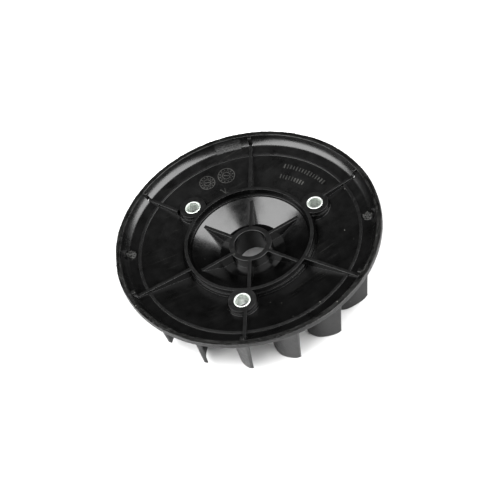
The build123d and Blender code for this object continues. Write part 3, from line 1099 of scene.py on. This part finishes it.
@dataclass
class Vanes:
    """Sixteen curved vanes that hang from the back of the dish, deepest at their inner ends."""

    wheel: WheelFrame
    count: int = 16
    phase: float = 15.9
    curve_centre: Point = (43.0, 10.7)
    curve_radius: float = 20.15
    outer_end: float = -39.7
    outer_end_height: float = 6.2
    end_draft: float = 0.27
    end_root_radius: float = 59.5
    inner_tip: float = 44.8
    inner_root: float = 43.2
    tip_thickness: float = 1.6
    root_thickness: float = 2.4
    corner: float = 1.5
    edge: float = 0.4
    flare: float = 0.8
    heel_radius: float = 50.2
    heel_slope: float = 0.68
    heel_softness: float = 1.6
    toe_radius: float = 58.3
    toe_slope: float = 1.1
    toe_softness: float = 0.5
    columns: int = 34

    def tip_z(self, r: float) -> float:
        """Give the height of the vane's lower edge, which rises in a chamfer towards the rim."""
        heel = soft_ramp(r - self.heel_radius, self.heel_softness)
        level = soft_ramp(self.inner_tip - self.heel_radius, self.heel_softness)
        toe = soft_ramp(r - self.toe_radius, self.toe_softness)
        return self.heel_slope * heel + self.toe_slope * toe - self.heel_slope * level

    def inner_angle(self, r: float) -> float:
        """Give the angle, about the blade's own centre, of the point at a radius on its inner end."""
        reach = math.hypot(*self.curve_centre)
        lean = math.degrees(math.atan2(*self.curve_centre[::-1]))
        cosine = (r ** 2 - reach ** 2 - self.curve_radius ** 2) / (2 * reach * self.curve_radius)
        return lean - math.degrees(math.acos(cosine))

    @staticmethod
    def fillet(radius: float, along: float) -> float:
        """Give how far a quarter-round stands back from its tangent, by distance along it."""
        left = max(0.0, radius - along)
        return radius - math.sqrt(max(0.0, radius ** 2 - left ** 2))

    def loop(self, lift: float, share: float, drop: float | None) -> np.ndarray:
        """Give one closed loop round the vane.

        Args:
            lift: Height above the lower edge, for the rounding of the lower corners and edge.
            share: Height as a share of the blade's height, for the straight stretch above.
            drop: Distance below the dish's back where the root flares, or None below the flare.

        Returns:
            The loop's points.
        """
        w = self.wheel
        retreat = self.fillet(self.corner, lift)
        thickness = self.tip_thickness + (self.root_thickness - self.tip_thickness) * share
        half = thickness / 2 - self.fillet(self.edge, lift)
        if drop is not None:
            half += self.fillet(self.flare, max(0.0, drop))
        inner_r = self.inner_tip + (self.inner_root - self.inner_tip) * share
        start = self.inner_angle(inner_r) + math.degrees(retreat / self.curve_radius)
        blade_height = w.back_z(self.end_root_radius) - self.outer_end_height
        end = self.outer_end + self.end_draft * share * blade_height
        centre = np.array(self.curve_centre)
        points = []
        for side in (1, -1):
            angles = np.linspace(start, end, self.columns)[::side]
            points += [centre + (self.curve_radius + side * half) * direction(angle) for angle in angles]
            tip = centre + self.curve_radius * direction(angles[-1])
            heading, across = direction(angles[-1] + 90 * side), direction(angles[-1]) * side
            for turn in (25, 55, 90, 125, 155):
                out, over = math.sin(math.radians(turn)), math.cos(math.radians(turn))
                points.append(tip + heading * half * out * 0.6 + across * half * over)
        loop = []
        for x, y in points:
            r = math.hypot(x, y)
            low, high = self.tip_z(r), w.back_z(min(r, w.cove_foot_radius))
            straight = low + lift + share * (high - self.flare - low - lift)
            loop.append((x, y, straight if drop is None else high - drop))
        return np.array(loop)

    def build(self) -> bpy.types.Object:
        """Make one vane and repeat it round the wheel.

        Returns:
            The finished piece.
        """
        rows = [self.loop(lift, 0.0, None) for lift in (0.0, 0.03, 0.1, 0.2, 0.4, 0.8, 1.3)]
        shares = (0.02, 0.1, 0.25, 0.4, 0.55, 0.7, 0.85, 0.95, 1.0)
        rows += [self.loop(self.corner, share, None) for share in shares]
        rows += [self.loop(self.corner, 1.0, drop) for drop in (0.6, 0.4, 0.22, 0.08, 0.0, -0.8)]
        vane = make_piece("vanes", loft(rows, ring=False, capped=True), [])
        PolarArray(self.count, self.phase, Finish.VANE.material()).apply(vane)
        return stand_for(vane, PLASTIC, *[f"vane_{n:02d}" for n in range(1, self.count + 1)])


@dataclass
class MouldMarks:
    """Generic raised marks on the floor: two date clocks, an arrow and two rows of dashes."""

    wheel: WheelFrame
    height: float = 0.16
    clocks: tuple[tuple[float, float, float], ...] = ((45.5, 76.7, 4.5), (46.1, 89.9, 4.1))
    arrow: tuple[float, float] = (37.0, 82.8)

    def ground(self, r: float, angle: float) -> Matrix:
        """Give the placing of a mark that lies on the floor, with its own +X pointing outwards.

        Args:
            r: Distance from the axis.
            angle: Angle about the axis.

        Returns:
            The matrix, in millimetres.
        """
        tilt = Matrix.Rotation(-math.radians(self.wheel.floor_slope), 4, "Y")
        turn = Matrix.Rotation(math.radians(angle), 4, "Z")
        return turn @ Matrix.Translation((r, 0, self.wheel.floor_z(r))) @ tilt

    def bar(self, length: float, width: float, x: float = 0.0, y: float = 0.0, turn: float = 0.0) -> Shell:
        """A raised bar on the mark's own plane, turned about the mark's centre."""
        return box_shell((length, width, 2 * self.height), (x, y, 0), turn)

    def join(self, name: str, shells: Sequence[Shell], place: Matrix) -> bpy.types.Object:
        """Make one piece of several shells on the floor.

        Args:
            name: The piece's name.
            shells: Its parts, on the mark's own plane.
            place: Where the mark lies.

        Returns:
            The finished piece.
        """
        vertices, faces, start = [], [], 0
        for shell in shells:
            vertices.append(shell.vertices)
            faces += [[start + k for k in face] for face in shell.faces]
            start += len(shell.vertices)
        whole = Shell(np.concatenate(vertices), faces).moved(place)
        return stand_for(make_piece(name, whole, [Finish.RAISED_MARK.material()]), PLASTIC)

    def ring(self, radius: float, width: float) -> Shell:
        """A raised ring on the mark's own plane."""
        return lathe([(radius - width, -self.height), (radius, -self.height), (radius, self.height),
                      (radius - width, self.height)], 48)

    def clock(self, number: int, r: float, angle: float, size: float) -> bpy.types.Object:
        """Make a date clock: rings, twelve ticks in two rows and a pointer."""
        shells = [self.ring(size, 0.35), self.ring(size * 0.47, 0.28)]
        for tick in range(12):
            turn = 30 * tick
            shells.append(self.bar(0.8, 0.42, x=size * 0.76, turn=turn))
            shells.append(self.bar(0.35, 0.35, x=size * 0.60, turn=turn + 15))
        shells += [self.bar(size * 0.62, 0.35, turn=70), self.bar(0.8, 0.35, x=0.5, y=0.4, turn=25)]
        return self.join(f"date_clock_{number}", shells, self.ground(r, angle))

    def pointer(self) -> bpy.types.Object:
        """Make the small outlined arrow."""
        shells = [self.bar(4.4, 0.35, x=0.2, y=0.0, turn=24), self.bar(3.6, 0.35, x=0.3, y=-0.9, turn=-8),
                  self.bar(0.35, 2.0, x=-1.7, y=-0.6, turn=10), self.bar(1.4, 0.35, x=1.6, y=-0.8, turn=60)]
        return self.join("mould_arrow", shells, self.ground(*self.arrow))

    def dashes(self) -> bpy.types.Object:
        """Make two rows of plain dashes where a moulding carries its batch marks."""
        draw = np.random.default_rng(7)
        shells = []
        for r, first, last, count in ((48.4, 38.5, 10.0, 15), (42.4, 38.8, 21.3, 9)):
            for angle in np.linspace(first, last, count):
                length, width = (float(draw.uniform(*span)) for span in ((1.9, 2.7), (0.4, 0.8)))
                shells.append(self.bar(length, width).moved(self.ground(r, float(angle))))
        return self.join("batch_dashes", shells, Matrix.Identity(4))

    def build(self) -> list[bpy.types.Object]:
        """Make all the marks."""
        clocks = [self.clock(number, *clock) for number, clock in enumerate(self.clocks, start=1)]
        return clocks + [self.pointer(), self.dashes()]


@dataclass
class GateStub:
    """The torn stub of plastic left in each gate pocket."""

    wheel: WheelFrame
    number: int
    angle: float
    radius: float = 58.4
    size: float = 2.5
    height: float = 1.3
    seed: float = 0.0

    def build(self) -> bpy.types.Object:
        """Make the stub as a lump with a ragged top.

        Returns:
            The finished piece.
        """
        x, y = self.radius * direction(self.angle)
        floor = self.wheel.floor_z(self.radius)
        work = bmesh.new()
        bmesh.ops.create_icosphere(work, subdivisions=5, radius=1.0)
        for vertex in work.verts:
            p = vertex.co.copy()
            ragged = noise.noise(p * 1.7 + Vector((self.seed, 0, 0))) + 0.6 * noise.noise(p * 4.5)
            flat = max(-1.0, min(0.55, p.z))
            spread = self.size * (1 + 0.28 * ragged)
            vertex.co = Vector((x + p.x * spread, y + p.y * spread,
                                floor + flat * self.height + 0.45 * ragged * (p.z > 0)))
        mesh = bpy.data.meshes.new(f"gate_stub_{self.number}")
        work.to_mesh(mesh)
        work.free()
        points = np.array([tuple(v.co) for v in mesh.vertices])
        shell = Shell(points, [list(face.vertices) for face in mesh.polygons])
        bpy.data.meshes.remove(mesh)
        stub = make_piece(f"gate_stub_{self.number}", shell, [Finish.TORN_GATE.material()], crease=60)
        return stand_for(stub, PLASTIC)


# ------------------------------------------------------------------------------------------
# The studio
# ------------------------------------------------------------------------------------------


@dataclass
class Studio:
    """A pale table, two soft boxes overhead and a camera above the wheel."""

    wheel: WheelFrame
    target: Point = (-4.45, -12.66)
    distance: float = 422.1
    azimuth: float = 75.5
    elevation: float = 50.75
    roll: float = 17.9
    lens: float = 64.8
    table_half_side: float = 0.9
    view_gamma: float = 0.86

    def camera(self) -> None:
        """Make the camera and aim it at a point in the lip's plane."""
        a, e = math.radians(self.azimuth), math.radians(self.elevation)
        view = Vector((math.cos(a) * math.cos(e), math.sin(a) * math.cos(e), -math.sin(e)))
        data = bpy.data.cameras.new("camera")
        data.lens, data.sensor_width = self.lens, 36.0
        camera = bpy.data.objects.new("camera", data)
        bpy.context.scene.collection.objects.link(camera)
        camera.location = (Vector((*self.target, self.wheel.lip_z)) - view * self.distance) * MM
        aim = view.to_track_quat("-Z", "Y").to_matrix().to_4x4()
        camera.rotation_euler = (aim @ Matrix.Rotation(-math.radians(self.roll), 4, "Z")).to_euler()
        bpy.context.scene.camera = camera

    def soft_box(self, name: str, azimuth: float, elevation: float, distance: float,
                 size: tuple[float, float], power: float) -> None:
        """Hang a soft box that faces the wheel.

        Args:
            name: The light's name.
            azimuth: Its direction from the axis, in degrees from +X.
            elevation: Its angle above the table.
            distance: Its distance, in metres.
            size: Its width and height, in metres.
            power: Its power, in watts.
        """
        light = bpy.data.lights.new(name, "AREA")
        light.shape, light.size, light.size_y, light.energy = "RECTANGLE", *size, power
        lamp = bpy.data.objects.new(name, light)
        bpy.context.scene.collection.objects.link(lamp)
        flat, rise = math.radians(azimuth), math.radians(elevation)
        out = Vector((math.cos(flat) * math.cos(rise), math.sin(flat) * math.cos(rise), math.sin(rise)))
        lamp.location = out * distance
        lamp.rotation_euler = (-out).to_track_quat("-Z", "Y").to_euler()

    def table(self) -> None:
        """Lay the pale table under the wheel's vane tips."""
        mesh = bpy.data.meshes.new("table")
        side = self.table_half_side
        corners = [(-side, -side, 0), (side, -side, 0), (side, side, 0), (-side, side, 0)]
        mesh.from_pydata(corners, [], [(0, 1, 2, 3)])
        material = bpy.data.materials.new("white_laminate")
        material.use_nodes = True
        surface = material.node_tree.nodes["Principled BSDF"]
        surface.inputs["Base Color"].default_value = linear("c4c4c4")
        surface.inputs["Roughness"].default_value = 0.6
        mesh.materials.append(material)
        table = bpy.data.objects.new("table", mesh)
        bpy.context.scene.collection.objects.link(table)

    def sky(self) -> None:
        """Set a dim, even room, which the camera itself sees as pale."""
        world = bpy.data.worlds.new("room")
        bpy.context.scene.world = world
        world.use_nodes = True
        tree = world.node_tree
        tree.nodes.clear()
        dim = add_node(tree, "ShaderNodeBackground", {"Color": (1, 1, 1, 1), "Strength": 0.035})
        pale = add_node(tree, "ShaderNodeBackground", {"Color": (1, 1, 1, 1), "Strength": 1.0})
        ray = add_node(tree, "ShaderNodeLightPath")
        mixed = add_node(tree, "ShaderNodeMixShader", {0: ray.outputs["Is Camera Ray"], 1: dim.outputs[0],
                                                       2: pale.outputs[0]})
        add_node(tree, "ShaderNodeOutputWorld", {"Surface": mixed.outputs[0]})

    def build(self) -> None:
        """Make the camera, the table, the room and the lights."""
        bpy.context.scene.view_settings.view_transform = "Standard"
        bpy.context.scene.view_settings.gamma = self.view_gamma
        self.camera()
        self.table()
        self.sky()
        self.soft_box("left_soft_box", 181, 40, 1.0, (1.4, 1.3), 44)
        self.soft_box("right_soft_box", -44, 42, 1.0, (1.35, 1.4), 46)


def main() -> None:
    """Build the wheel and its studio, and report the pieces."""
    logging.basicConfig(level=logging.INFO, format="%(name)s: %(message)s")
    wheel = WheelFrame()
    Studio(wheel).build()
    dish, hub, rim = Dish(wheel), Hub(wheel), Rim(wheel)
    pieces = rim.build()
    sleeves = [f"screw_sleeve_{number}" for number in (1, 2, 3)]
    pieces += [dish.floor(sleeves), dish.ring(), dish.ridge(), hub.cone(), hub.boss()]
    pieces += Ribs(wheel).build()
    for number in (1, 2, 3):
        screw_boss = ScrewBoss(wheel, number)
        pieces += [screw_boss.boss(), screw_boss.sleeve()]
    pieces.append(Vanes(wheel).build())
    pieces += MouldMarks(wheel).build()
    for number, angle in enumerate(rim.gate_angles, start=1):
        pieces.append(GateStub(wheel, number, angle, seed=3.0 * number).build())
    for piece in pieces:
        LOG.info("%s: %d faces", piece.name, len(piece.data.polygons))
    bpy.context.view_layer.update()


if __name__ == "__main__":
    main()
